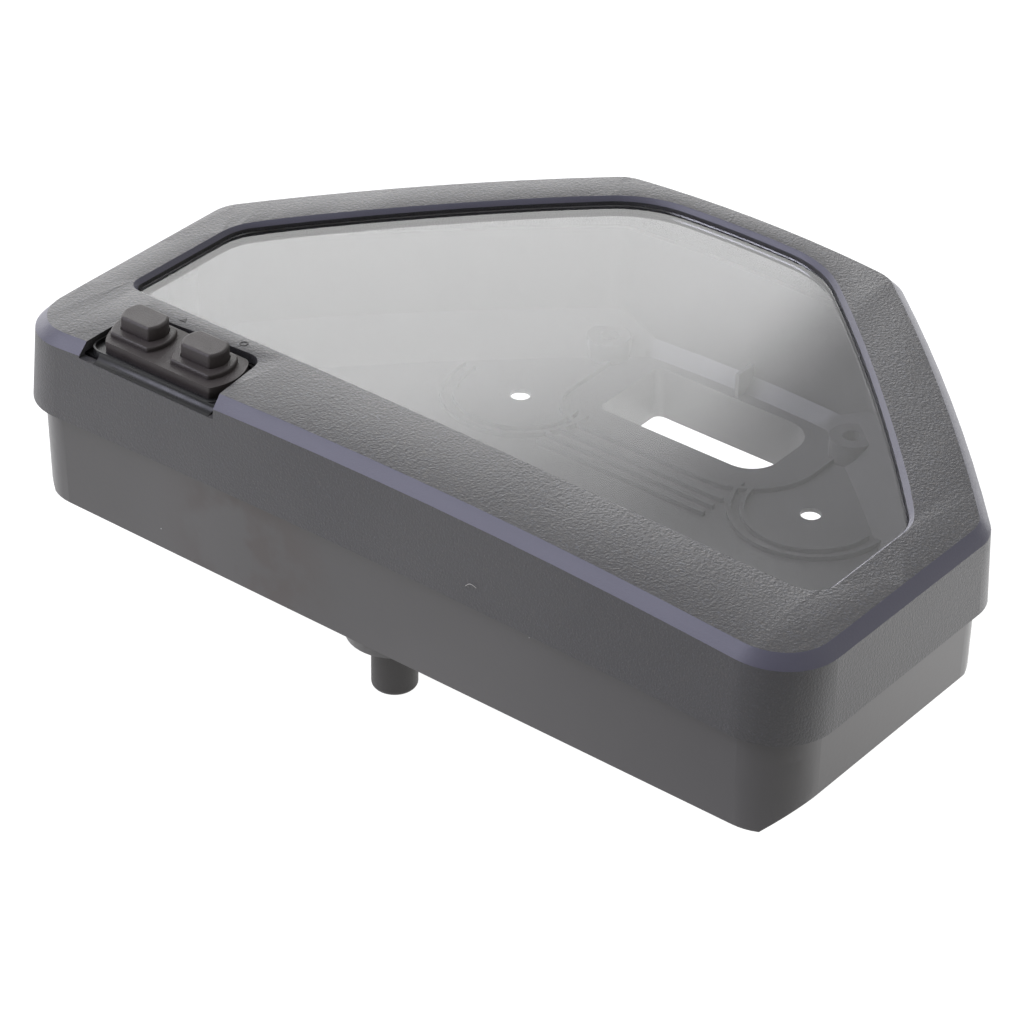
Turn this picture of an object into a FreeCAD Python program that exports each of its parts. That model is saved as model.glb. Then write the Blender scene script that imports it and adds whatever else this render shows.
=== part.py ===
"""Instrument cluster case of a motorcycle: bezel, clear lens, rear case, keypad and mounting posts.

Millimetres, +Z up out of the face, X along the long front edge, Y away from the rider.  The sizes are
measured from the middle of the front wall line and from the rear case's flat back; the finished
sub-parts are moved so that the assembly stands on its posts with the origin under its middle.
"""
import FreeCAD, Part
import math
import os

import Sketcher

V = FreeCAD.Vector

SIZES = {
    # the assembly's own origin, measured from the front wall line
    "origin_y": 84.365,
    # plan of the case, a six-sided outline at the lower edge of the bezel's skirt
    "half_width": 130.0, "side_depth": 85.9, "depth": 168.7, "slant_angle": 44.6, "taper": 0.6,
    "slant_bow": 780.0, "far_bow": 420.0,
    "front_corner": 17.6, "mid_corner": 13.0, "far_corner": 14.0,
    # bezel: heights, the radii of its arched top and lower edge, and its draft
    "skirt_low": 30.5, "skirt_arch": 3674.0, "top": 56.6, "top_arch": 1553.0,
    "front_draft": 1.6, "side_low": 2.3, "side_high": 3.2, "bevel": 3.0, "bezel_wall": 2.4,
    "bezel_roof": 2.8,
    # rear case: walls, the sloping toe along its sides, rim and ribs
    "step": 3.2, "side_step": 5.2, "case_draft": 0.4, "case_wall": 2.5, "floor": 3.0, "shoulder": 35.0,
    "rim_top": 39.0, "rim_step": 1.4, "rim_wall": 1.1, "side_toe": 13.4, "slant_toe": 14.6,
    "slant_toe_inside": 18.9, "far_toe": 10.3,
    "rib_width": 1.2, "rib_height": 1.4, "seal_height": 1.2,
    # window and lens
    "window_front_right": 30.9, "window_front_left": 33.2, "window_right": 112.3, "window_left": 113.6,
    "window_far": 157.4,
    "window_slant_right": 184.8, "window_slant_left": 190.2, "window_bow": 1750.0,
    "window_bevel": 1.2, "window_corner": 8.0, "window_left_corner": 5.0, "window_mid_corner": 14.0,
    "window_far_corner": 34.0, "lens_margin": 3.2, "lens_plate": 1.6, "lens_raise": 1.2, "lens_gap": 0.5,
    "lens_seal": 0.5,
    # keypad: the notch and the plates in it lean to the left towards the back
    "notch_left": -100.8, "notch_right": -55.8, "notch_back": 24.6, "notch_corner": 5.0, "notch_lean": 0.136,
    "notch_left_lean": 0.02,
    "sill": 49.7, "tray_gap": 0.4, "tray_front": 4.2, "tray_top": 52.2, "tray_floor": 51.2, "tray_rim": 0.5,
    "tray_corner": 4.0, "tray_flange_low": 48.6, "tray_flange_high": 50.0, "apron_inset": 5.0, "apron_toe": 0.8, "apron_cove": 2.4,
    "key_lean": 0.08, "pad_left": -96.2, "pad_right": -60.2, "pad_front": 6.2, "pad_back": 23.0,
    "pad_bow": 2.9, "pad_top": 54.5, "collar_length": 12.9, "collar_front": 8.9, "collar_back": 21.6,
    "collar_bow": 2.3, "collar_top": 55.8, "collar_edge": 0.55, "collar_shift": 0.2, "cap_length": 9.5, "cap_width": 8.7,
    "cap_bow": 1.8, "cap_top": 59.6, "cap_foot": 53.3, "cap_edge": 0.8, "cap_gap": 0.2, "near_corner": 0.9,
    "key_row": 16.1, "select_place": -90.5, "reset_place": -69.4,
    "plunger_radius": 1.6, "slide_fit": 0.05, "button_radius": 1.4, "button_foot": 44.9,
    "board_top": 43.0, "board_thick": 1.6, "board_left": -100.0, "board_right": -59.0,
    "board_front": 8.0, "board_back": 24.5, "switch_side": 6.0, "switch_height": 3.4,
    "board_boss": 2.3, "board_screw": 1.0, "board_screw_row": 21.6,
    # mounting posts
    "post_radius": 6.15, "post_low": -20.0, "post_edge": 1.3, "foot_radius": 12.9, "foot_low": -3.0,
    "front_post_x": -7.1, "front_post_y": 17.2, "rear_post_x": 82.0, "rear_post_y": 86.0,
    "spigot_radius": 3.6, "insert_radius": 3.9, "insert_bore": 2.5, "insert_length": 9.0,
    # case screws, their bosses in the rear case and their pillars in the bezel
    "screw_radius": 1.5, "screw_head": 2.8, "head_height": 2.0, "head_seat": 26.0, "screw_tip": 47.5,
    "counterbore": 3.0, "boss_radius": 4.3, "pillar_radius": 2.9, "joint_height": 40.0,
    "hook_place": 22.0, "hook_length": 10.0, "hook_row": 164.0,
    # openings in the floor, which are centred a little right of the middle
    "floor_middle": 1.0, "well_left": -25.4, "well_right": 29.0, "well_front": 126.8, "well_back": 155.2,
    "well_low": -13.0, "well_wall": 2.0, "well_corner": 9.0, "well_left_corner": 2.5, "well_moat": 12.0,
    "left_vent_x": -46.2, "left_vent_y": 118.4, "right_vent_x": 50.5, "right_vent_y": 120.8,
    "vent_radius": 2.9, "vent_web": 1.3, "vent_sink": 5.5, "inner_ring": 19.0, "outer_ring": 22.6,
    "corner_boss_x": 41.4, "corner_boss_y": 151.4, "corner_boss_top": 9.4, "corner_boss_radius": 6.2,
    "corner_hole": 2.6,
}


class Size(float):
    """A length or factor that keeps the spreadsheet formula it was worked out with."""

    def __new__(cls, value, text=None):
        number = super().__new__(cls, value)
        number.text = text or repr(float(value))
        return number

    def __add__(self, other):
        return Size(float(self) + float(other), f"({self.text} + {formula(other)})")

    def __radd__(self, other):
        return Size(float(other) + float(self), f"({formula(other)} + {self.text})")

    def __sub__(self, other):
        return Size(float(self) - float(other), f"({self.text} - {formula(other)})")

    def __rsub__(self, other):
        return Size(float(other) - float(self), f"({formula(other)} - {self.text})")

    def __mul__(self, other):
        return Size(float(self) * float(other), f"({self.text} * {formula(other)})")

    def __rmul__(self, other):
        return Size(float(other) * float(self), f"({formula(other)} * {self.text})")

    def __truediv__(self, other):
        return Size(float(self) / float(other), f"({self.text} / {formula(other)})")

    def __neg__(self):
        return Size(-float(self), f"(-1 * {self.text})")


def formula(number):
    return getattr(number, "text", repr(float(number)))


class Sheet:
    """The driving dimensions, read as attributes: size.depth and so on."""

    def __init__(self, doc, sizes):
        self.cells = doc.addObject("Spreadsheet::Sheet", "Sizes")
        for row, (name, value) in enumerate(sizes.items(), 1):
            self.cells.set(f"A{row}", name)
            self.cells.set(f"B{row}", str(value))
            self.cells.setAlias(f"B{row}", name)
        doc.recompute()

    def __getattr__(self, name):
        return Size(self.cells.get(name), f"Sizes.{name}")


doc = FreeCAD.newDocument("instrument_cluster")
size = Sheet(doc, SIZES)
nodes = {}


def bind(thing, **formulas):
    """Ties properties to the sheet; Placement_Base_z stands for Placement.Base.z."""
    for name, number in formulas.items():
        path = "." + name.replace("_", ".") if name.startswith("Placement") else name
        thing.setExpression(path, formula(number))


def move(thing, x=0.0, y=0.0, z=0.0):
    bind(thing, Placement_Base_x=x, Placement_Base_y=y, Placement_Base_z=z)
    return thing


# ---- sketches ------------------------------------------------------------------------------

def outline(name, corners, bows=None, place=0.0, upright=False):
    """A closed sketch through the corners, anticlockwise; bows gives the radius of an edge that is an arc.

    The edge leaves the corner of the same number.  A negative radius makes the edge hollow.
    The sketch lies level at the height place, or, if upright, across the case at Y = place.
    """
    bows = bows or {}
    sketch = doc.addObject("Sketcher::SketchObject", name)
    ends = []
    for number, (x, y) in enumerate(corners):
        nx, ny = corners[(number + 1) % len(corners)]
        start, end = V(x, y, 0), V(nx, ny, 0)
        if number in bows:
            chord = end - start
            radius = float(bows[number])
            rise = math.copysign(abs(radius) - math.sqrt(radius ** 2 - chord.Length ** 2 / 4), radius)
            out = V(chord.y, -chord.x, 0).normalize()
            sketch.addGeometry(Part.Arc(start, (start + end) * 0.5 + out * rise, end), False)
            ends.append((1, 2) if radius > 0 else (2, 1))
        else:
            sketch.addGeometry(Part.LineSegment(start, end), False)
            ends.append((1, 2))
    for number in range(len(corners)):
        following = (number + 1) % len(corners)
        sketch.addConstraint(
            Sketcher.Constraint("Coincident", number, ends[number][1], following, ends[following][0])
        )
    for number, (x, y) in enumerate(corners):
        for kind, axis, where in (("DistanceX", -2, x), ("DistanceY", -1, y)):
            if abs(where) < 1e-9:
                sketch.addConstraint(Sketcher.Constraint("PointOnObject", number, ends[number][0], axis))
                continue
            at = sketch.addConstraint(
                Sketcher.Constraint(kind, -1, 1, number, ends[number][0], float(where))
            )
            sketch.setExpression(f"Constraints[{at}]", formula(where))
    for number, radius in bows.items():
        at = sketch.addConstraint(Sketcher.Constraint("Radius", number, abs(float(radius))))
        sketch.setExpression(f"Constraints[{at}]", formula(-radius if radius < 0 else radius))
    if upright:
        sketch.Placement = FreeCAD.Placement(V(), FreeCAD.Rotation(V(1, 0, 0), 90))
        sketch.setExpression(".Placement.Base.y", formula(place))
    else:
        sketch.setExpression(".Placement.Base.z", formula(place))
    return sketch


# ---- solids --------------------------------------------------------------------------------

def prism(name, sketch, height):
    solid = doc.addObject("Part::Extrusion", name)
    solid.Base = sketch
    solid.DirMode = "Normal"
    solid.Solid = True
    bind(solid, LengthFwd=height)
    return solid


def loft(name, sketches):
    solid = doc.addObject("Part::Loft", name)
    solid.Sections = sketches
    solid.Solid = True
    solid.Ruled = True
    return solid


def cylinder(name, radius, height, x=0.0, y=0.0, z=0.0):
    solid = doc.addObject("Part::Cylinder", name)
    bind(solid, Radius=radius, Height=height)
    return move(solid, x, y, z)


def box(name, length, width, height, x=0.0, y=0.0, z=0.0):
    """A block centred on x and y, standing on z."""
    solid = doc.addObject("Part::Box", name)
    bind(solid, Length=length, Width=width, Height=height)
    return move(solid, x - length / 2, y - width / 2, z)


def fuse(name, *solids):
    union = doc.addObject("Part::MultiFuse", name)
    union.Shapes = list(solids)
    union.Refine = False
    return union


def common(name, *solids):
    shared = doc.addObject("Part::MultiCommon", name)
    shared.Shapes = list(solids)
    return shared


def cut(name, base, *tools):
    result = doc.addObject("Part::Cut", name)
    result.Base = base
    result.Tool = tools[0] if len(tools) == 1 else fuse(name + "_tools", *tools)
    return result


def group(name, *solids):
    """Separate solids of one kind kept in one node."""
    together = doc.addObject("Part::Compound", name)
    together.Links = list(solids)
    return together


def dress(kind, name, base, chosen, *amounts):
    """A Part::Fillet or Part::Chamfer on the edges that chosen(edge) accepts."""
    doc.recompute()
    edges = [
        (number, *[float(a) for a in (amounts if len(amounts) == 2 else amounts * 2)])
        for number, edge in enumerate(base.Shape.Edges, 1)
        if chosen(edge)
    ]
    if not edges:
        raise RuntimeError(f"{name}: no edge chosen")
    feature = doc.addObject("Part::" + kind, name)
    feature.Base = base
    feature.Edges = edges
    doc.recompute()
    return feature


def rises(edge):
    """Edges that climb, such as the corners of an upright wall."""
    bounds = edge.BoundBox
    return bounds.ZLength > 1.5 * max(bounds.XLength, bounds.YLength)


def rounded(name, base, radius, where=lambda edge: True):
    return dress("Fillet", name, base, lambda edge: rises(edge) and where(edge), radius)


def node(label, thing):
    """Names a finished sub-part, and moves it so that the assembly stands on its posts over the origin."""
    thing.Label = label
    bind(thing, Placement_Base_y=-size.origin_y, Placement_Base_z=-size.post_low)
    nodes[label] = thing
    return thing


# ---- the master outline ----------------------------------------------------------------------

def cosine(angle):
    return Size(math.cos(math.radians(angle)), f"cos({angle.text} * 1 deg)")


def sine(angle):
    return Size(math.sin(math.radians(angle)), f"sin({angle.text} * 1 deg)")


def hexagon(name, z, front, side, slant, far):
    """The six-sided plan with each edge moved in by its own amount."""
    lean, rise = sine(size.slant_angle), cosine(size.slant_angle)
    far_half = size.half_width - (size.depth - size.side_depth) * rise / lean
    half = size.half_width - side
    back = size.depth - far

    def middle(inset):
        return size.side_depth + (lean * side - inset) / rise

    def corner(inset):
        return far_half + (rise * far - inset) / lean

    corners = [
        (size.taper - half, front), (half - size.taper, front), (half, middle(slant)),
        (corner(slant), back), (-corner(slant), back), (-half, middle(slant)),
    ]
    bows = {2: size.slant_bow - slant, 3: size.far_bow - far, 4: size.slant_bow - slant}
    return outline(name, corners, bows, z)


def round_corners(name, solid, inset):
    """Rounds the upright corners of a hexagonal solid: front, middle and far pairs."""
    front = rounded(name + "_front", solid, size.front_corner - inset, lambda e: e.CenterOfMass.y < 20)
    middle = rounded(
        name + "_middle", front, size.mid_corner - inset * 0.5,
        lambda e: abs(e.CenterOfMass.x) > 90 and e.CenterOfMass.y > 50,
    )
    return rounded(
        name + "_far", middle, size.far_corner - inset * 0.5,
        lambda e: abs(e.CenterOfMass.x) < 80 and e.CenterOfMass.y > 100,
    )


def square_root(number):
    return Size(math.sqrt(number), f"sqrt({number.text})")


def arched_slab(name, low, high, low_arch=None):
    """A slab across the whole case between two heights at the middle, falling away towards both ends.

    Its top is parallel to the bezel's arched top face, and so is its underside unless low_arch is given.
    """
    reach = size.half_width + 10
    radii = (low_arch or size.top_arch - (size.top - low), size.top_arch - (size.top - high))
    falls = [radius - square_root(radius * radius - reach * reach) for radius in radii]
    corners = [
        (-reach, low - falls[0]), (reach, low - falls[0]),
        (reach, high - falls[1]), (-reach, high - falls[1]),
    ]
    profile = outline(name + "_profile", corners, {0: -radii[0], 2: radii[1]}, -10.0, upright=True)
    slab = prism(name, profile, size.depth + 30)
    slab.Reversed = True
    return slab


def on_top(edge):
    """Edges that lie in the bezel's arched top face."""
    radius = float(size.top_arch)
    drops = [
        float(size.top) - radius + math.sqrt(radius ** 2 - vertex.X ** 2) - vertex.Z
        for vertex in edge.Vertexes
    ]
    return max(abs(drop) for drop in drops) < 0.02


# ---- bezel -----------------------------------------------------------------------------------

CASE_SCREWS = [
    (-size.half_width + 18, size.step + 13.0), (-size.half_width * 0.31, size.step + 10.0),
    (size.half_width * 0.31, size.step + 10.0), (size.half_width - 18, size.step + 13.0),
    (-size.half_width + 9.8, size.side_depth * 0.72), (size.half_width - 9.8, size.side_depth * 0.72),
]
POSTS = {
    "front": (size.front_post_x, size.front_post_y),
    "left": (-size.rear_post_x, size.rear_post_y),
    "right": (size.rear_post_x, size.rear_post_y),
}
VENTS = {"left": (size.left_vent_x, size.left_vent_y), "right": (size.right_vent_x, size.right_vent_y)}
BOSSES = [(size.floor_middle - size.corner_boss_x, size.corner_boss_y),
          (size.floor_middle + size.corner_boss_x, size.corner_boss_y)]
KEYS = {"select": size.select_place, "reset": size.reset_place}


def skirt(name, inset):
    """The bezel's tapering walls, moved in by inset all round, with rounded corners."""
    levels = (size.skirt_low - 6, size.top + 4)
    rings = []
    for number, level in enumerate(levels):
        part = (level - size.skirt_low) / (size.top - size.bevel - size.skirt_low)
        front = size.front_draft * part + inset
        side = size.side_low + (size.side_high - size.side_low) * part + inset
        rings.append(hexagon(f"{name}_ring{number}", level, front, side, side, side))
    return round_corners(name + "_round", loft(name, rings), inset)


def window(name, grow, low, high):
    """The window's outline as an upright solid, grown outward by grow."""
    far = size.window_far + grow
    right, left = size.window_right + grow, size.window_left + grow
    slant_right = size.window_slant_right + 1.414 * grow
    slant_left = size.window_slant_left + 1.414 * grow
    corners = [
        (-left, size.window_front_left - grow), (right, size.window_front_right - grow),
        (right, slant_right - right),
        (slant_right - far, far), (far - slant_left, far), (-left, slant_left - left),
    ]
    bows = {0: size.window_bow + grow, 2: size.slant_bow, 3: size.far_bow, 4: size.slant_bow}
    body = prism(name, outline(name + "_plan", corners, bows, low), high - low)
    body = rounded(name + "_r1", body, size.window_corner + grow,
                   lambda e: e.CenterOfMass.y < 50 and e.CenterOfMass.x > 0)
    body = rounded(name + "_r2", body, size.window_left_corner + grow,
                   lambda e: e.CenterOfMass.y < 50 and e.CenterOfMass.x < 0)
    body = rounded(name + "_r3", body, size.window_mid_corner + grow,
                   lambda e: abs(e.CenterOfMass.x) > 95 and e.CenterOfMass.y > 55)
    return rounded(name + "_r4", body, size.window_far_corner + grow,
                   lambda e: abs(e.CenterOfMass.x) < 60 and e.CenterOfMass.y > 140)


def slab_between(name, left, right, front, back, low, high, corner=0.0, where=lambda edge: True):
    """An upright block between its six faces, with chosen upright edges rounded."""
    block = doc.addObject("Part::Box", name)
    bind(block, Length=right - left, Width=back - front, Height=high - low)
    move(block, left, front, low)
    if not corner:
        return block
    return dress(
        "Fillet", name + "_round", block,
        lambda edge: edge.BoundBox.ZLength > 0.5 and edge.BoundBox.XLength < 0.01 and where(edge), corner,
    )


def leaning(name, left, right, front, back, low, high, lean, bow=None, front_corner=None, back_corner=None,
            left_lean=None):
    """A plate that leans left towards the back; left and right hold at the key row, and its ends may bow.

    left_lean is the lean of its left end, if that end leans differently.
    """
    def slid(x, y, slope):
        return x + slope * (size.key_row - y)

    left_slope = lean if left_lean is None else left_lean
    corners = [(slid(left, front, left_slope), front), (slid(right, front, lean), front),
               (slid(right, back, lean), back), (slid(left, back, left_slope), back)]
    bows = {}
    if bow:
        depth, shift = back - front, lean * (back - front)
        radius = ((depth * depth + shift * shift) / 4 + bow * bow) / (bow * 2)
        bows = {1: radius, 3: radius}
    plate = prism(name + "_plate", outline(name + "_plan", corners, bows, low), high - low)
    middle = float(front + back) / 2
    if front_corner:
        plate = rounded(name + "_near", plate, front_corner, lambda e: e.CenterOfMass.y < middle)
    if back_corner:
        plate = rounded(name + "_back", plate, back_corner, lambda e: e.CenterOfMass.y > middle)
    return plate


def make_bezel():
    slab = arched_slab("bezel_slab", size.skirt_low, size.top, size.skirt_arch)
    blank = common("bezel_blank", skirt("bezel_skirt", 0.0), slab)
    bevelled = dress("Chamfer", "bezel_bevel", blank, on_top, size.bevel)
    hollow = common(
        "bezel_hollow", skirt("bezel_inside", size.bezel_wall),
        arched_slab("bezel_inside_slab", size.skirt_low - 12, size.top - size.bezel_roof),
    )
    shell = cut("bezel_shell", bevelled, hollow)
    notch = leaning("notch", size.notch_left, size.notch_right, -12.0, size.notch_back, size.sill,
                    size.top + 5, size.notch_lean, back_corner=size.notch_corner,
                    left_lean=size.notch_left_lean)
    shell = cut("bezel_notched", shell, notch)
    opened = cut("bezel_opened", shell, window("window", -size.window_bevel, size.sill - 10, size.top + 5))
    rimmed = dress(
        "Chamfer", "bezel_rimmed", opened,
        lambda e: on_top(e) and inside_window(e.CenterOfMass), size.window_bevel,
    )
    roof = arched_slab("pillar_slab", size.joint_height - 12, size.top - size.bezel_roof + 0.5)
    pillars, holes = [], []
    for number, (x, y) in enumerate(CASE_SCREWS, 1):
        pillars.append(cylinder(f"pillar{number}", size.pillar_radius, size.top - size.joint_height,
                                x, y, size.joint_height))
        holes.append(cylinder(f"pillar_hole{number}", size.screw_radius,
                              size.screw_tip - size.joint_height + 1, x, y, size.joint_height))
    for number, x in enumerate((-size.hook_place, size.hook_place)):
        pillars.append(box(f"keeper{number}", size.hook_length, 2.2, size.seal_height, x,
                           size.hook_row + 1.5, size.shoulder + size.seal_height + 0.2))
    pillars = common("pillars", fuse("pillar_set", *pillars), roof)
    node("bezel", cut("bezel", fuse("bezel_whole", rimmed, pillars), *holes))


def inside_window(point):
    return size.notch_back + 1 < point.y < size.window_far + 3 and (
        abs(point.x) + point.y < size.window_slant_left + 6 and abs(point.x) < size.window_left + 3
    )


def make_lens():
    under_roof = size.top - size.bezel_roof - size.lens_seal
    plate = common(
        "lens_plate", window("lens_outline", size.lens_margin, size.sill - 12, size.top + 5),
        arched_slab("lens_plate_slab", under_roof - size.lens_plate, under_roof),
    )
    raised = common(
        "lens_raised", window("lens_step", -(size.window_bevel + size.lens_gap), size.sill - 12, size.top + 5),
        arched_slab("lens_raised_slab", under_roof - size.lens_plate / 2, under_roof + size.lens_raise),
    )
    node("lens", fuse("lens", plate, raised))
    ring = cut(
        "lens_seal_ring", window("seal_outer", size.lens_margin - 0.2, size.sill - 12, size.top + 5),
        window("seal_inner", 0.4, size.sill - 14, size.top + 7),
    )
    layer = arched_slab("lens_seal_slab", under_roof, under_roof + size.lens_seal)
    node("lens_seal", common("lens_seal", ring, layer))


# ---- rear case ---------------------------------------------------------------------------------

def wall_ring(name, level, inset):
    """The rear case's plan, moved in by inset from its outer face."""
    side = size.side_step + inset
    return hexagon(name, level, size.step + inset, side, side, side)


def tub(name, inset, low, toes):
    """The rear case's filled shape: upright walls cut off below by a 45 degree toe along five sides."""
    walls = loft(name + "_walls", [
        wall_ring(name + "_ring0", low, inset + size.case_draft),
        wall_ring(name + "_ring1", size.shoulder, inset),
    ])
    walls = round_corners(name + "_round", walls, size.step + inset)
    rise = toes[1]
    away = -size.half_width / 4
    side, slant, far = toes
    flare = loft(name + "_flare", [
        hexagon(name + "_toe0", low, away, side, slant, far),
        hexagon(name + "_toe1", low + rise, away, side - rise, slant - rise, far - rise),
        hexagon(name + "_toe2", size.shoulder + 5, away, side - rise, slant - rise, far - rise),
    ])
    return common(name, walls, flare)


def ring(name, inner, outer, low, high, x=0.0, y=0.0):
    return cut(
        name, cylinder(name + "_out", outer, high - low, x, y, low),
        cylinder(name + "_in", inner, high - low + 2, x, y, low - 1),
    )


def well_block(name, grow, low, high):
    """The connector opening's outline: large corners on the right, small ones on the left."""
    block = slab_between(
        name, size.well_left - grow, size.well_right + grow, size.well_front - grow,
        size.well_back + grow, low, high, size.well_corner + grow, lambda e: e.CenterOfMass.x > 0,
    )
    return dress(
        "Fillet", name + "_left", block,
        lambda e: e.BoundBox.ZLength > 0.5 and e.BoundBox.XLength < 0.01
        and abs(e.CenterOfMass.x - (size.well_left - grow)) < 0.1,
        size.well_left_corner + grow,
    )


def make_rear_case():
    outside = (size.side_toe, size.slant_toe, size.far_toe)
    thicker = size.case_wall * 1.414 - size.floor
    inside = (size.side_toe + thicker, size.slant_toe_inside, size.far_toe + thicker)
    hull = tub("tub_outside", 0.0, 0.0, outside)
    cavity = tub("tub_inside", size.case_wall, size.floor, inside)
    shell = cut("tub_shell", hull, cavity)

    floor, rib_top = size.floor, size.floor + size.rib_height
    sunk = size.floor / 2
    extras = []
    front_half = box("front_half", 4 * size.half_width, 2 * size.depth, 20.0, 0.0,
                     size.left_vent_y - size.depth + 2.0, 0.0)
    for name in ("left", "right"):
        for radius, which in ((size.inner_ring, "inner"), (size.outer_ring, "outer")):
            rib = ring(f"{name}_{which}_ring", radius - size.rib_width, radius, sunk, rib_top, *VENTS[name])
            extras.append(common(f"{name}_{which}_arc", rib, front_half))
    for number, (x, y) in enumerate(BOSSES):
        extras.append(cylinder(f"corner_boss{number}", size.corner_boss_radius, size.corner_boss_top, x, y))
    moat = cut("moat", well_block("moat_out", size.well_moat, sunk, rib_top),
               well_block("moat_in", size.well_moat - size.rib_width, sunk - 1, rib_top + 1))
    extras.append(moat)
    reach = -size.left_vent_x - size.inner_ring * 0.95
    for number, y in enumerate((size.left_vent_y - 8.2, size.left_vent_y - 12.4, size.left_vent_y - 16.6)):
        extras.append(box(f"floor_rib{number}", 2 * reach, size.rib_width, rib_top - sunk,
                          size.floor_middle, y, sunk))
    extras.append(box("far_gusset", size.rib_width, 8.0, 9.0, size.floor_middle, size.depth - 9.0, sunk))
    bosses = [cylinder(f"boss{n}", size.boss_radius, size.joint_height, x, y)
              for n, (x, y) in enumerate(CASE_SCREWS, 1)]
    low_part = common("tub_details", fuse("tub_detail_set", *extras, *bosses), hull)
    limit = loft("boss_limit", [wall_ring(f"boss_limit{n}", level, size.rim_step)
                                for n, level in enumerate((size.shoulder - 2, size.joint_height + 5))])
    tops = [common(f"boss_end{n}", cylinder(f"boss_top{n}", size.boss_radius,
                                            size.joint_height - size.shoulder + 1, x, y, size.shoulder - 1), limit)
            for n, (x, y) in enumerate(CASE_SCREWS, 1)]

    inner_step = size.rim_step + size.rim_wall
    lip = loft("rim_out", [wall_ring(f"rim_out{n}", level, size.rim_step)
                           for n, level in enumerate((size.shoulder - 1, size.rim_top))])
    lip = round_corners("rim_out_round", lip, size.step + size.rim_step)
    core = loft("rim_in", [wall_ring(f"rim_in{n}", level, inner_step)
                           for n, level in enumerate((size.shoulder - 3, size.rim_top + 2))])
    core = round_corners("rim_in_round", core, size.step + inner_step)
    rim = cut("rim", lip, core)
    hooks = [box(f"hook{n}", size.hook_length, 1.4, size.seal_height, x, size.hook_row + 0.2,
                 size.rim_top - size.seal_height)
             for n, x in enumerate((-size.hook_place, size.hook_place))]

    feet = [cylinder(f"foot{n}", size.foot_radius, -size.foot_low, x, y, size.foot_low)
            for n, (x, y) in enumerate(POSTS.values())]
    shroud = well_block("well_outside", size.well_wall, size.well_low, floor)
    whole = fuse("case_whole", shell, low_part, rim, *tops, *hooks, *feet, shroud)

    holes = [well_block("well", 0.0, size.well_low - 1, floor + 20)]
    for number, (x, y) in enumerate(BOSSES):
        holes.append(cylinder(f"corner_hole{number}", size.corner_hole, 20.0, x, y, -3.0))
    for name, (x, y) in VENTS.items():
        holes.append(cylinder(f"{name}_vent", size.vent_radius, 10.0, x, y, -3.0))
        holes.append(cylinder(f"{name}_vent_sink", size.vent_sink, 3.0 + size.floor - size.vent_web, x, y, -3.0))
    for n, (x, y) in enumerate(CASE_SCREWS, 1):
        holes.append(cylinder(f"counterbore{n}", size.counterbore, size.head_seat + 1, x, y, -1.0))
        holes.append(cylinder(f"clearance{n}", size.screw_radius, size.joint_height, x, y, 5.0))
    for n, (x, y) in enumerate(POSTS.values()):
        holes.append(cylinder(f"socket{n}", size.spigot_radius, -size.foot_low, x, y, size.foot_low))
    node("rear_case", cut("rear_case", whole, *holes))


def make_case_seal():
    """A square cord lying on the rear case's shoulder, outside its rim."""
    solids = []
    for name, inset in (("seal_out", size.rim_step * 0.1), ("seal_in", size.rim_step * 0.9)):
        body = loft(name, [wall_ring(f"{name}{n}", level, inset)
                           for n, level in enumerate((size.shoulder - 5, size.shoulder + 5))])
        solids.append(round_corners(name + "_round", body, size.step + inset))
    layer = slab_between("seal_layer", -size.half_width, size.half_width, 0.0, size.depth + 5, size.shoulder,
                         size.shoulder + size.seal_height)
    node("case_seal", common("case_seal", cut("seal_ring", *solids), layer))


# ---- keypad --------------------------------------------------------------------------------------

def tray_plate(name, inset, low, high):
    gap = size.tray_gap + inset
    return leaning(name, size.notch_left + gap, size.notch_right - gap, size.tray_front + inset,
                   size.notch_back - gap, low, high, size.notch_lean, None, size.tray_corner - inset,
                   size.notch_corner - gap, size.notch_left_lean)


def make_tray():
    flange = slab_between("tray_flange", size.notch_left - 3.0, size.notch_right + 4.0,
                          size.bezel_wall + size.front_draft + 0.3, size.notch_back + 0.8,
                          size.tray_flange_low, size.tray_flange_high)
    deck = tray_plate("tray_deck", 0.0, size.tray_flange_low, size.tray_top)
    front, sill = size.front_draft - 0.1, size.sill + 0.05
    profile = outline("apron_profile", [
        (front, sill), (size.tray_front + 1, sill), (size.tray_front + 1, size.tray_top - 0.4),
        (size.tray_front, size.tray_top - 0.4), (front + size.apron_toe, sill + 0.15),
    ], {3: -size.apron_cove})
    profile.Placement = FreeCAD.Placement(V(), FreeCAD.Rotation(V(1, 1, 1), 120))
    bind(profile, Placement_Base_x=size.notch_left + size.apron_inset, Placement_Base_z=0.0)
    apron = prism("apron", profile, size.notch_right - size.notch_left - size.apron_inset)
    stands = []
    holes = [tray_plate("tray_recess", size.tray_rim, size.tray_floor, size.tray_top + 1)]
    for name, x in KEYS.items():
        holes.append(cylinder(f"{name}_bore", size.plunger_radius + size.slide_fit, 12.0, x, size.key_row,
                              size.tray_flange_low - 2))
    for number, x in enumerate((size.board_left + 4.5, size.board_right - 4.5)):
        height = size.tray_flange_low - size.board_top
        stands.append(cylinder(f"stand{number}", size.board_boss, height + 1, x, size.board_screw_row,
                               size.board_top))
        holes.append(cylinder(f"stand_bore{number}", size.board_screw, height, x, size.board_screw_row,
                              size.board_top))
    node("keypad_tray", cut("keypad_tray", fuse("tray_whole", flange, deck, apron, *stands), *holes))


def cap_plate(name, x, grow, low, high):
    half, middle = size.cap_length / 2 + grow, size.cap_width / 2 + grow
    corner = size.near_corner + grow
    return leaning(name, x - half, x + half, size.key_row - middle, size.key_row + middle, low, high,
                   size.key_lean, size.cap_bow, corner, corner * 2)


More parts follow.
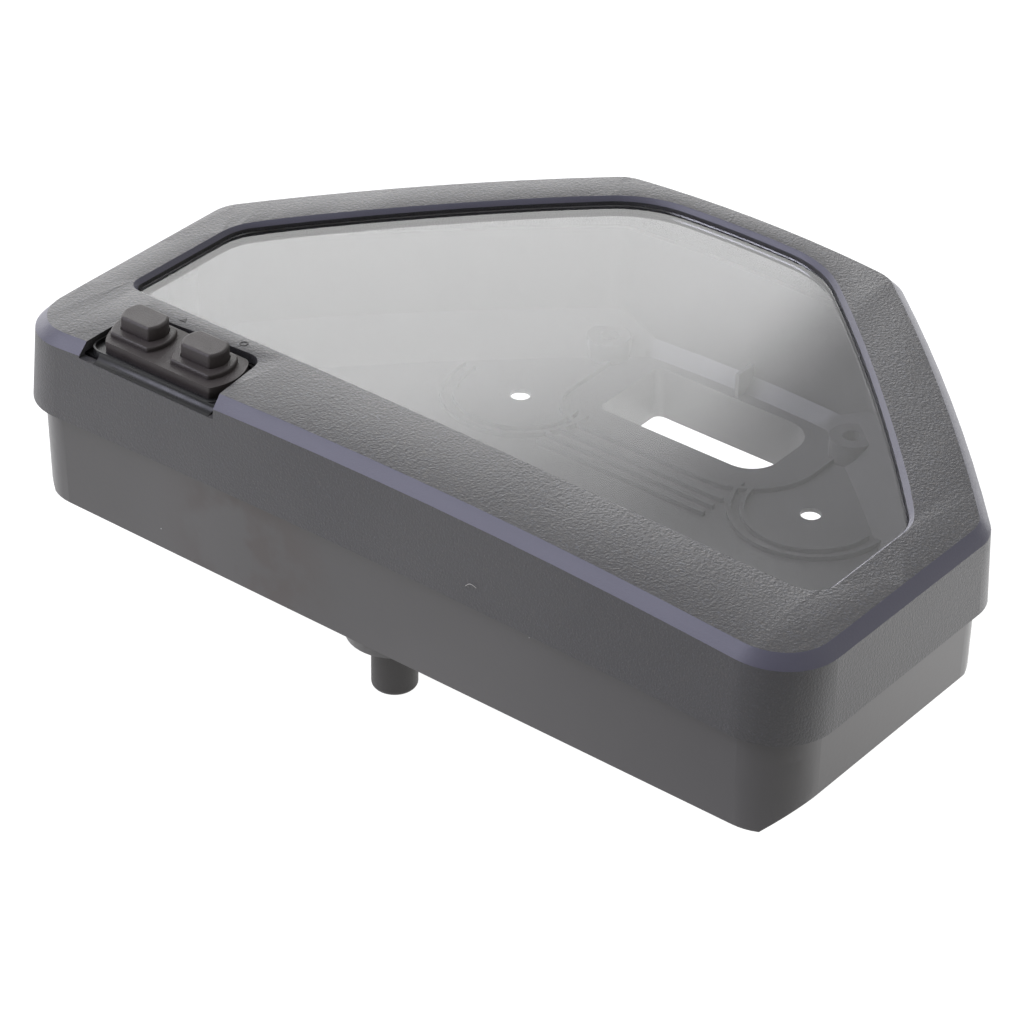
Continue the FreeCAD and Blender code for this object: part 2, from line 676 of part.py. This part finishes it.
def make_keypad():
    pad = leaning("pad", size.pad_left, size.pad_right, size.pad_front, size.pad_back, size.tray_floor,
                  size.pad_top, size.key_lean, size.pad_bow, size.near_corner, size.near_corner * 3)
    collars, slots = [], []
    plunger_low = size.board_top + size.switch_height + 1.5
    for name, x in KEYS.items():
        half, middle = size.collar_length / 2, x + size.collar_shift
        collar = leaning(f"{name}_collar_plate", middle - half, middle + half, size.collar_front,
                         size.collar_back, size.pad_top - 1, size.collar_top, size.key_lean,
                         size.collar_bow, size.near_corner, size.near_corner * 3)
        collars.append(dress(
            "Fillet", f"{name}_collar", collar,
            lambda e: e.BoundBox.ZLength < 0.01 and e.CenterOfMass.z > size.collar_top - 0.1, size.collar_edge,
        ))
        slots.append(cap_plate(f"{name}_slot", x, size.cap_gap, size.tray_floor - 1, size.collar_top + 1))
        node(f"{name}_key", dress(
            "Fillet", f"{name}_key", cap_plate(f"{name}_cap", x, 0.0, size.cap_foot, size.cap_top),
            lambda e: e.BoundBox.ZLength < 0.01 and e.CenterOfMass.z > size.cap_top - 0.1, size.cap_edge,
        ))
        stem = cylinder(f"{name}_stem", size.plunger_radius, size.cap_foot - plunger_low, x, size.key_row,
                        plunger_low)
        node(f"{name}_plunger", dress("Chamfer", f"{name}_plunger", stem,
                                      lambda e: abs(e.CenterOfMass.z - plunger_low) < 0.01, 0.3))
        button = cylinder(f"{name}_button", size.button_radius, plunger_low - size.button_foot, x,
                          size.key_row, size.button_foot)
        node(f"{name}_switch_button", dress("Chamfer", f"{name}_switch_button", button,
                                            lambda e: abs(e.CenterOfMass.z - plunger_low) < 0.01, 0.2))
        housing = box(f"{name}_housing", size.switch_side, size.switch_side, size.switch_height, x,
                      size.key_row, size.board_top)
        well = cylinder(f"{name}_switch_well", size.button_radius + size.slide_fit, size.switch_height,
                        x, size.key_row, size.board_top + 0.4)
        node(f"{name}_switch", cut(f"{name}_switch", housing, well))
    node("keypad_boot", cut("keypad_boot", fuse("pad_and_collars", pad, *collars), *slots))


def make_switch_board():
    low = size.board_top - size.board_thick
    board = slab_between("board_blank", size.board_left, size.board_right, size.board_front,
                         size.board_back, low, size.board_top, 1.5)
    holes, screws = [], []
    for number, x in enumerate((size.board_left + 4.5, size.board_right - 4.5)):
        y = size.board_screw_row
        holes.append(cylinder(f"board_hole{number}", size.board_screw, 4.0, x, y, low - 1))
        head = cylinder(f"board_head{number}", size.board_screw * 2, 1.2, x, y, low - 1.2)
        shank = cylinder(f"board_shank{number}", size.board_screw, size.board_thick + 4.6, x, y, low)
        screws.append(fuse(f"board_screw{number}", head, shank))
    node("switch_board", cut("switch_board", board, *holes))
    node("board_screws", group("board_screws", *screws))
    middle = (size.board_left + size.board_right) / 2
    socket = box("socket_block", 9.0, 5.0, 4.6, middle, size.board_front + 3.5, low - 4.6)
    mouth = box("socket_mouth", 7.4, 3.4, 4.0, middle, size.board_front + 3.5, low - 5.0)
    node("board_socket", cut("board_socket", socket, mouth))


# ---- posts and screws ------------------------------------------------------------------------------

def make_posts():
    for name, (x, y) in POSTS.items():
        stem = cylinder(f"{name}_stem", size.post_radius, size.foot_low - size.post_low, x, y, size.post_low)
        stem = dress("Fillet", f"{name}_stem_round", stem,
                     lambda e: abs(e.CenterOfMass.z - size.post_low) < 0.01, size.post_edge)
        spigot = cylinder(f"{name}_spigot", size.spigot_radius, -size.foot_low, x, y, size.foot_low)
        hole = cylinder(f"{name}_insert_hole", size.insert_radius, size.insert_length, x, y, size.post_low)
        node(f"{name}_post", cut(f"{name}_post", fuse(f"{name}_post_blank", stem, spigot), hole))
        node(f"{name}_post_insert", ring(f"{name}_post_insert", size.insert_bore, size.insert_radius,
                                         size.post_low, size.post_low + size.insert_length, x, y))


def make_case_screws():
    screws = []
    for number, (x, y) in enumerate(CASE_SCREWS, 1):
        head = cylinder(f"screw_head{number}", size.screw_head, size.head_height, x, y,
                        size.head_seat - size.head_height)
        shank = cylinder(f"screw_shank{number}", size.screw_radius, size.screw_tip - size.head_seat, x, y,
                         size.head_seat)
        drive = box(f"screw_drive{number}", 3.2, 0.9, 0.9, x, y, size.head_seat - size.head_height)
        screws.append(cut(f"case_screw{number}", fuse(f"screw_blank{number}", head, shank), drive))
    node("case_screws", group("case_screws", *screws))


def check_and_write():
    doc.recompute()
    for thing in doc.Objects:
        bad = [state for state in thing.State if state in ("Invalid", "Error")]
        if bad:
            raise RuntimeError(f"{thing.Name} is {bad}")
    os.makedirs("parts", exist_ok=True)
    for label, thing in nodes.items():
        shape = thing.Shape
        if shape.isNull() or not shape.isValid() or not shape.Solids:
            raise RuntimeError(f"{label} has no valid solid")
        shape.exportStep(f"parts/{label}.step")
        bounds = shape.BoundBox
        print(f"{label:22s} solids {len(shape.Solids)}  volume {shape.Volume:9.1f}  "
              f"x {bounds.XMin:.1f}..{bounds.XMax:.1f}  y {bounds.YMin:.1f}..{bounds.YMax:.1f}  "
              f"z {bounds.ZMin:.1f}..{bounds.ZMax:.1f}")


make_bezel()
make_lens()
make_rear_case()
make_case_seal()
make_tray()
make_keypad()
make_switch_board()
make_posts()
make_case_screws()
check_and_write()
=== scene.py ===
"""Looks of the instrument cluster case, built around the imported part, in metres in its frame."""

import math

import bpy
from mathutils import Matrix, Vector


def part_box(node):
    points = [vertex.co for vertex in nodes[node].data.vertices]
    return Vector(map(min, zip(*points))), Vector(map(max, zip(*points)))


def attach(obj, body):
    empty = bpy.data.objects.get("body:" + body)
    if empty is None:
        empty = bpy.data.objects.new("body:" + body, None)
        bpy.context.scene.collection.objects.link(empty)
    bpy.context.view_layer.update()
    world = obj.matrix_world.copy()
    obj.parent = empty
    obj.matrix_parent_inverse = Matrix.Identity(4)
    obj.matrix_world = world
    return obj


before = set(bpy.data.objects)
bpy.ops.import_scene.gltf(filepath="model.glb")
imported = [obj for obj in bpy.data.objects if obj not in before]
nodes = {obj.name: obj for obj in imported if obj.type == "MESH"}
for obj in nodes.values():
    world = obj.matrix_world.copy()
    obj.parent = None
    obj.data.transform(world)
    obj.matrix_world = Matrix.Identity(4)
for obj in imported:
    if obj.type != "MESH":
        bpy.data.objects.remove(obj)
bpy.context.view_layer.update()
scene = bpy.context.scene


# ---- camera ---------------------------------------------------------------------------------

def add_camera():
    tilt, turn, roll = math.radians(33.53), math.radians(37.95), math.radians(1.0)
    back = Vector((math.sin(turn) * math.cos(tilt), -math.cos(turn) * math.cos(tilt), math.sin(tilt)))
    right = Vector((math.cos(turn), math.sin(turn), 0))
    up = back.cross(right)
    across = right * math.cos(roll) + up * math.sin(roll)
    upward = up * math.cos(roll) - right * math.sin(roll)
    place = Vector((0, -0.01437, 0.050)) - 0.00869 * across - 0.01715 * upward + 1.00952 * back
    data = bpy.data.cameras.new("camera")
    data.lens, data.sensor_width = 136.1, 36.0
    data.clip_start, data.clip_end = 0.05, 30
    camera = bpy.data.objects.new("camera", data)
    turned = Matrix((across, upward, back)).transposed().to_4x4()
    camera.matrix_world = Matrix.Translation(place) @ turned
    scene.collection.objects.link(camera)
    scene.camera = camera


# ---- node trees -----------------------------------------------------------------------------

class Tree:
    """A node tree, with short calls for the nodes used here."""

    def __init__(self, tree):
        self.tree = tree
        tree.nodes.clear()

    def node(self, kind, inputs=None, **settings):
        made = self.tree.nodes.new("ShaderNode" + kind)
        for key, value in settings.items():
            setattr(made, key, value)
        for key, value in (inputs or {}).items():
            self.feed(made.inputs[key], value)
        return made

    def feed(self, socket, value):
        if isinstance(value, bpy.types.NodeSocket):
            self.tree.links.new(value, socket)
        else:
            socket.default_value = value

    def math(self, operation, a, b=0.0, clamp=False):
        return self.node("Math", {0: a, 1: b}, operation=operation, use_clamp=clamp).outputs[0]

    def times(self, *factors):
        product = factors[0]
        for factor in factors[1:]:
            product = self.math("MULTIPLY", product, factor)
        return product

    def plus(self, *terms):
        total = terms[0]
        for term in terms[1:]:
            total = self.math("ADD", total, term)
        return total

    def ramp(self, value, low, high, to_low=0.0, to_high=1.0, smooth=True):
        inputs = {0: value, 1: low, 2: high, 3: to_low, 4: to_high}
        kind = "SMOOTHSTEP" if smooth else "LINEAR"
        return self.node("MapRange", inputs, interpolation_type=kind).outputs[0]

    def mix(self, factor, a, b):
        made = self.node("Mix", data_type="RGBA")
        for socket, value in ((0, factor), (6, a), (7, b)):
            self.feed(made.inputs[socket], value)
        return made.outputs[2]

    def blend(self, factor, a, b):
        return self.plus(a, self.times(factor, self.math("SUBTRACT", b, a)))

    def split(self, vector):
        return self.node("SeparateXYZ", {0: vector}).outputs

    def along(self, vector, direction):
        """How far a vector reaches in a direction."""
        inputs = {0: vector, 1: Vector(direction).normalized()}
        return self.node("VectorMath", inputs, operation="DOT_PRODUCT").outputs["Value"]


class Shade(Tree):
    """A material built on one Principled shader."""

    def __init__(self, name, **constants):
        self.material = bpy.data.materials.new(name)
        self.material.use_nodes = True
        super().__init__(self.material.node_tree)
        self.out = self.node("OutputMaterial")
        self.shader = self.node("BsdfPrincipled")
        self.feed(self.out.inputs["Surface"], self.shader.outputs[0])
        for key, value in constants.items():
            self.shader.inputs[key.replace("_", " ")].default_value = value
        self.space = self.node("TexCoord").outputs["Object"]

    def set(self, name, value):
        self.feed(self.shader.inputs[name], value)

    def noise(self, scale, detail=2.0, rough=0.5):
        inputs = {"Vector": self.space, "Scale": scale, "Detail": detail, "Roughness": rough}
        return self.node("TexNoise", inputs).outputs["Fac"]

    def specks(self, scale, size, share):
        """Round specks a fixed size: one in each cell of a grid of cells, in a share of the cells."""
        cells = self.node("TexVoronoi", {"Vector": self.space, "Scale": scale})
        near = self.math("LESS_THAN", cells.outputs["Distance"], size * scale)
        chosen = self.math("LESS_THAN", self.split(cells.outputs["Color"])[0], share)
        return self.times(near, chosen)

    def bump(self, height, distance):
        return self.node("Bump", {"Height": height, "Distance": distance, "Strength": 1.0}).outputs[0]

    def facing(self):
        """The surface's own direction, before any bump."""
        return self.split(self.node("NewGeometry").outputs["True Normal"])

    def around(self, centre, radius, soft):
        """1 inside a ball, falling to 0 over its soft edge."""
        offset = self.node("VectorMath", {0: self.space, 1: centre}, operation="DISTANCE")
        return self.ramp(offset.outputs["Value"], radius, radius + soft, 1.0, 0.0)


def rgb(value, tint=(1, 1, 1)):
    return (value * tint[0], value * tint[1], value * tint[2], 1)


def paint(shade, *names):
    for name in names:
        nodes[name].data.materials.clear()
        nodes[name].data.materials.append(shade.material)


# ---- materials --------------------------------------------------------------------------------

WARM = (1.03, 0.99, 0.98)
# Bluish tint for the bezel's bevel band: a painted reflection of the cool light in front on the left.
PAINTED_COOL_SHEEN = (0.92, 0.90, 1.20)


def bezel_plastic():
    """Grained plastic: a coarse leather grain on the top, a fine one on the skirt, and a smooth bevel whose
    lighter bluish colour is a painted reflection of the cool light.
    """
    s = Shade("bezel_plastic", IOR=1.46)
    level = s.facing()[2]
    top = s.ramp(level, 0.90, 0.96)
    band = s.times(s.ramp(level, 0.45, 0.55), s.math("SUBTRACT", 1.0, top))
    skirt = s.ramp(level, 0.45, 0.40)
    coarse = s.noise(1150, 2.0, 0.55)
    fine = s.noise(1700, 2.0, 0.6)
    patches = s.noise(14, 3.0, 0.55)
    base = s.mix(s.ramp(patches, 0.3, 0.7), rgb(0.052, (1.0, 0.98, 1.03)),
                 rgb(0.066, (1.0, 0.98, 1.0)))
    flecks = s.ramp(s.noise(1900, 2.0, 0.6), 0.52, 0.72)
    tinted = s.mix(s.ramp(s.noise(700), 0.4, 0.6), rgb(0.105, (1.1, 0.98, 0.86)),
                   rgb(0.105, (0.9, 0.96, 1.15)))
    base = s.mix(s.times(flecks, s.plus(s.times(top, 0.8), s.times(skirt, 0.3))), base, tinted)
    # The bevel band is painted lighter and bluish than the rest of the plastic: a painted reflection of the
    # cool light.
    s.set("Base Color", s.mix(band, base, rgb(0.10, PAINTED_COOL_SHEEN)))
    s.set("Roughness", s.plus(s.times(top, 0.33), s.times(band, 0.38), s.times(skirt, 0.45)))
    relief = s.plus(s.times(coarse, s.plus(s.times(top, 0.8), s.times(band, 0.08))),
                    s.times(fine, s.plus(s.times(top, 0.45), s.times(skirt, 1.0), s.times(band, 0.3))))
    s.set("Normal", s.bump(relief, 0.00019))
    return s


def case_plastic():
    """Smooth moulded plastic, slightly cloudy, with a few pale dust specks and an oily stain in front."""
    s = Shade("case_plastic", IOR=1.46)
    patches = s.ramp(s.noise(11, 3.0, 0.55), 0.3, 0.7)
    stain = s.times(s.ramp(s.noise(55, 3.0, 0.6), 0.42, 0.6), s.around(STAIN, 0.012, 0.022))
    base = s.mix(patches, rgb(0.062, WARM), rgb(0.078, WARM))
    base = s.mix(s.times(stain, 0.5), base, rgb(0.05, (1.2, 0.9, 0.8)))
    base = s.mix(s.times(s.specks(130, 0.00022, 0.28), 0.6), base, rgb(0.5))
    s.set("Base Color", base)
    s.set("Roughness", s.plus(0.31, s.times(patches, 0.08), s.times(stain, 0.08)))
    s.set("Normal", s.bump(s.noise(700, 3.0, 0.6), 0.00002))
    return s


def rubber(name, value, tint, rough, relief=0.00005):
    s = Shade(name, IOR=1.45)
    patches = s.noise(120, 3.0, 0.6)
    s.set("Base Color", s.mix(patches, rgb(value * 0.88, tint), rgb(value * 1.12, tint)))
    s.set("Roughness", s.ramp(patches, 0.3, 0.7, rough - 0.05, rough + 0.05))
    s.set("Normal", s.bump(s.noise(2600, 3.0, 0.6), relief))
    return s


def plain(name, value, tint, rough, metal=0.0, scale=300):
    s = Shade(name, IOR=1.46, Metallic=metal)
    patches = s.noise(scale, 3.0, 0.6)
    s.set("Base Color", s.mix(patches, rgb(value * 0.9, tint), rgb(value * 1.1, tint)))
    s.set("Roughness", s.ramp(patches, 0.3, 0.7, rough - 0.05, rough + 0.05))
    s.set("Normal", s.bump(s.noise(scale * 8, 3.0, 0.6), 0.00002))
    return s


def lens_plastic():
    """Clear plastic that bends light, and lets the light through to what is behind it."""
    s = Shade("lens_plastic", IOR=1.46, Transmission_Weight=1.0, Roughness=0.0)
    s.shader.inputs["Base Color"].default_value = (0.96, 0.965, 0.97, 1)
    clear = s.node("BsdfTransparent", {"Color": (0.9, 0.905, 0.91, 1)})
    path = s.node("LightPath")
    indirect = s.math("MAXIMUM", path.outputs["Is Shadow Ray"], path.outputs["Is Diffuse Ray"])
    both = s.node("MixShader", {0: indirect, 1: s.shader.outputs[0], 2: clear.outputs[0]})
    s.feed(s.out.inputs["Surface"], both.outputs[0])
    return s


# ---- edges ------------------------------------------------------------------------------------

def soften(name, width, segments=3, angle=25):
    """Rounds a moulded part's edges, which the solid has sharp."""
    thing = nodes[name]
    weld = thing.modifiers.new("weld", "WELD")
    weld.merge_threshold = 0.000002
    bevel = thing.modifiers.new("edges", "BEVEL")
    bevel.width, bevel.segments = width, segments
    bevel.limit_method, bevel.angle_limit = "ANGLE", math.radians(angle)
    bevel.use_clamp_overlap = True
    bevel.harden_normals = True
    bevel.miter_outer = "MITER_ARC"


# ---- surroundings -----------------------------------------------------------------------------

def add_floor():
    """A white table that glows, its light on the object dim in front on the right and strong behind."""
    bpy.ops.mesh.primitive_plane_add(size=6, location=(0, 0, -0.0002))
    floor = bpy.context.object
    floor.name = "floor"
    s = Shade("floor_paper", Roughness=1.0)
    s.shader.inputs["Base Color"].default_value = (0.2, 0.2, 0.2, 1)
    s.shader.inputs["Emission Color"].default_value = (1, 1, 1, 1)
    place = s.split(s.space)
    behind = s.ramp(s.along(s.space, (0.6, 0.8, 0)), 0.03, 0.15)
    dim = s.times(s.ramp(s.along(s.space, (0.35, -0.94, 0)), 0.09, 0.16), s.ramp(place[0], -0.08, 0.10))
    glow = s.plus(1.05, s.times(behind, 0.8), s.times(dim, -0.6))
    seen = s.node("LightPath").outputs["Is Camera Ray"]
    s.set("Emission Strength", s.blend(seen, glow, 1.0))
    floor.data.materials.append(s.material)


def add_world():
    """A studio: a wide soft box behind on the left, a cool one in front on the left, dark by the camera."""
    world = bpy.data.worlds.new("studio")
    world.use_nodes = True
    t = Tree(world.node_tree)
    way = t.node("TexCoord").outputs["Generated"]
    x, y, z = t.split(way)
    panel = t.times(t.ramp(z, 0.50, 0.615, 1.0, 0.0), t.ramp(x, -0.465, -0.415, 1.0, 0.0),
                    t.ramp(y, -0.2, 0.2))
    cool = t.ramp(t.along(way, (-0.51, -0.55, 0.66)), 0.90, 0.97)
    low = t.ramp(t.along(way, (-0.35, 0.69, 0.64)), 0.90, 0.97)
    shade = t.ramp(t.along(way, (0.62, -0.78, 0.1)), 0.2, 0.9)
    base = t.times(0.62, t.math("SUBTRACT", 1.0, t.times(shade, 0.75)))
    strength = t.plus(base, t.times(panel, 2.5), t.times(low, 0.4))
    neutral = t.node("Background", {"Color": (1, 1, 1, 1), "Strength": strength})
    tinted = t.node("Background", {"Color": (0.9, 0.9, 1.1, 1), "Strength": t.times(cool, 4.0)})
    both = t.node("AddShader", {0: neutral.outputs[0], 1: tinted.outputs[0]})
    t.node("OutputWorld", {"Surface": both.outputs[0]})
    scene.world = world
    scene.view_settings.view_transform = "Standard"


# ---- small pieces -----------------------------------------------------------------------------

def mesh_piece(name, corners, faces, material):
    mesh = bpy.data.meshes.new(name)
    mesh.from_pydata(corners, [], faces)
    mesh.materials.append(material)
    thing = bpy.data.objects.new(name, mesh)
    scene.collection.objects.link(thing)
    return thing


def top_height(x, y):
    """Height of the bezel's outer surface at a place, found with a ray from above."""
    bezel = nodes["bezel"]
    inverse = bezel.matrix_world.inverted()
    start = inverse @ Vector((x, y, 0.2))
    hit, spot, _, _ = bezel.ray_cast(start, inverse.to_3x3() @ Vector((0, 0, -1)))
    return (bezel.matrix_world @ spot).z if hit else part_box("bezel")[1][2]


def raised_mark(name, loop, inner, material, rise=0.00012):
    """A flat printed mark standing a little proud of the bezel's top; inner, if given, is its hollow."""
    count = len(loop)
    corners, faces = [], []
    for outline in (loop, inner or []):
        feet = [(x, y, top_height(x, y) - 0.00005) for x, y in outline]
        corners += feet + [(x, y, z + 0.00005 + rise) for x, y, z in feet]
    for i in range(count):
        n = (i + 1) % count
        faces.append((i, n, count + n, count + i))
        if inner:
            faces.append((count + i, count + n, 3 * count + n, 3 * count + i))
            faces.append((2 * count + n, 2 * count + i, 3 * count + i, 3 * count + n))
    if not inner:
        faces.append(tuple(range(count, 2 * count)))
    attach(mesh_piece(name, corners, faces, material), "housing")


def add_marks():
    """Plain signs behind the keys: a triangle behind the left one and a ring behind the right one."""
    ink = rubber("mark_ink", 0.015, (1, 1, 1), 0.5).material
    for key, name, sides in (("select_key", "mark_triangle", 3), ("reset_key", "mark_ring", 32)):
        low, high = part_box(key)[:2]
        x = (low[0] + high[0]) / 2 + MARK_ASIDE
        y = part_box("keypad_tray")[1][1] + MARK_BEHIND
        turn = [2 * math.pi * i / sides + math.pi / 2 for i in range(sides)]
        loop, inner = ([(x + r * math.cos(a), y + r * math.sin(a)) for a in turn]
                       for r in (MARK_RADIUS, MARK_HOLLOW))
        raised_mark(name, loop, inner if sides > 3 else None, ink)


def add_fibre():
    """A short pale fibre caught on the front of the bezel's skirt."""
    low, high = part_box("bezel")[:2]
    curve = bpy.data.curves.new("fibre", "CURVE")
    curve.dimensions, curve.bevel_depth = "3D", 0.00006
    line = curve.splines.new("BEZIER")
    line.bezier_points.add(2)
    for point, (dx, dz) in zip(line.bezier_points, ((0, 0), (0.0016, 0.0012), (0.0034, 0.0008))):
        point.co = (0.03 + dx, low[1] - 0.00002, low[2] + 0.008 + dz)
        point.handle_left_type = point.handle_right_type = "AUTO"
    thing = bpy.data.objects.new("fibre", curve)
    scene.collection.objects.link(thing)
    curve.materials.append(rubber("fibre", 0.5, (1, 0.97, 0.9), 0.6).material)
    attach(thing, "housing")


MARK_ASIDE, MARK_BEHIND = 0.003, 0.0021
MARK_RADIUS, MARK_HOLLOW = 0.0012, 0.0008
STAIN = (-0.045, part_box("rear_case")[0][1], 0.035)

add_camera()
add_world()
add_floor()

paint(bezel_plastic(), "bezel")
paint(case_plastic(), "rear_case")
paint(lens_plastic(), "lens")
paint(plain("tray_gloss", 0.012, (1, 1, 1.05), 0.32), "keypad_tray")
paint(rubber("seal_rubber", 0.02, (1, 1, 1), 0.7), "lens_seal", "case_seal")
paint(rubber("key_rubber", 0.046, (1.13, 0.97, 0.93), 0.48, 0.0001), "keypad_boot", "select_key", "reset_key")
paint(rubber("post_rubber", 0.028, (1.06, 0.97, 0.93), 0.5), "front_post", "left_post", "right_post")
paint(plain("insert_brass", 0.6, (1.1, 0.85, 0.45), 0.3, 1.0),
      "front_post_insert", "left_post_insert", "right_post_insert")
paint(plain("white_plastic", 0.6, (1, 0.99, 0.94), 0.45), "select_plunger", "reset_plunger", "board_socket")
paint(plain("board_green", 0.10, (0.4, 1.2, 0.6), 0.35), "switch_board")
paint(plain("switch_plastic", 0.03, (1, 1, 1), 0.4), "select_switch", "reset_switch")
paint(plain("button_plastic", 0.5, (1, 0.95, 0.88), 0.4), "select_switch_button", "reset_switch_button")
paint(plain("screw_steel", 0.55, (1, 1, 0.97), 0.3, 1.0), "case_screws", "board_screws")
soften("bezel", 0.0004)
soften("rear_case", 0.0004)
for name in ("keypad_boot", "select_key", "reset_key", "keypad_tray"):
    soften(name, 0.0003, 3)

add_marks()
add_fibre()
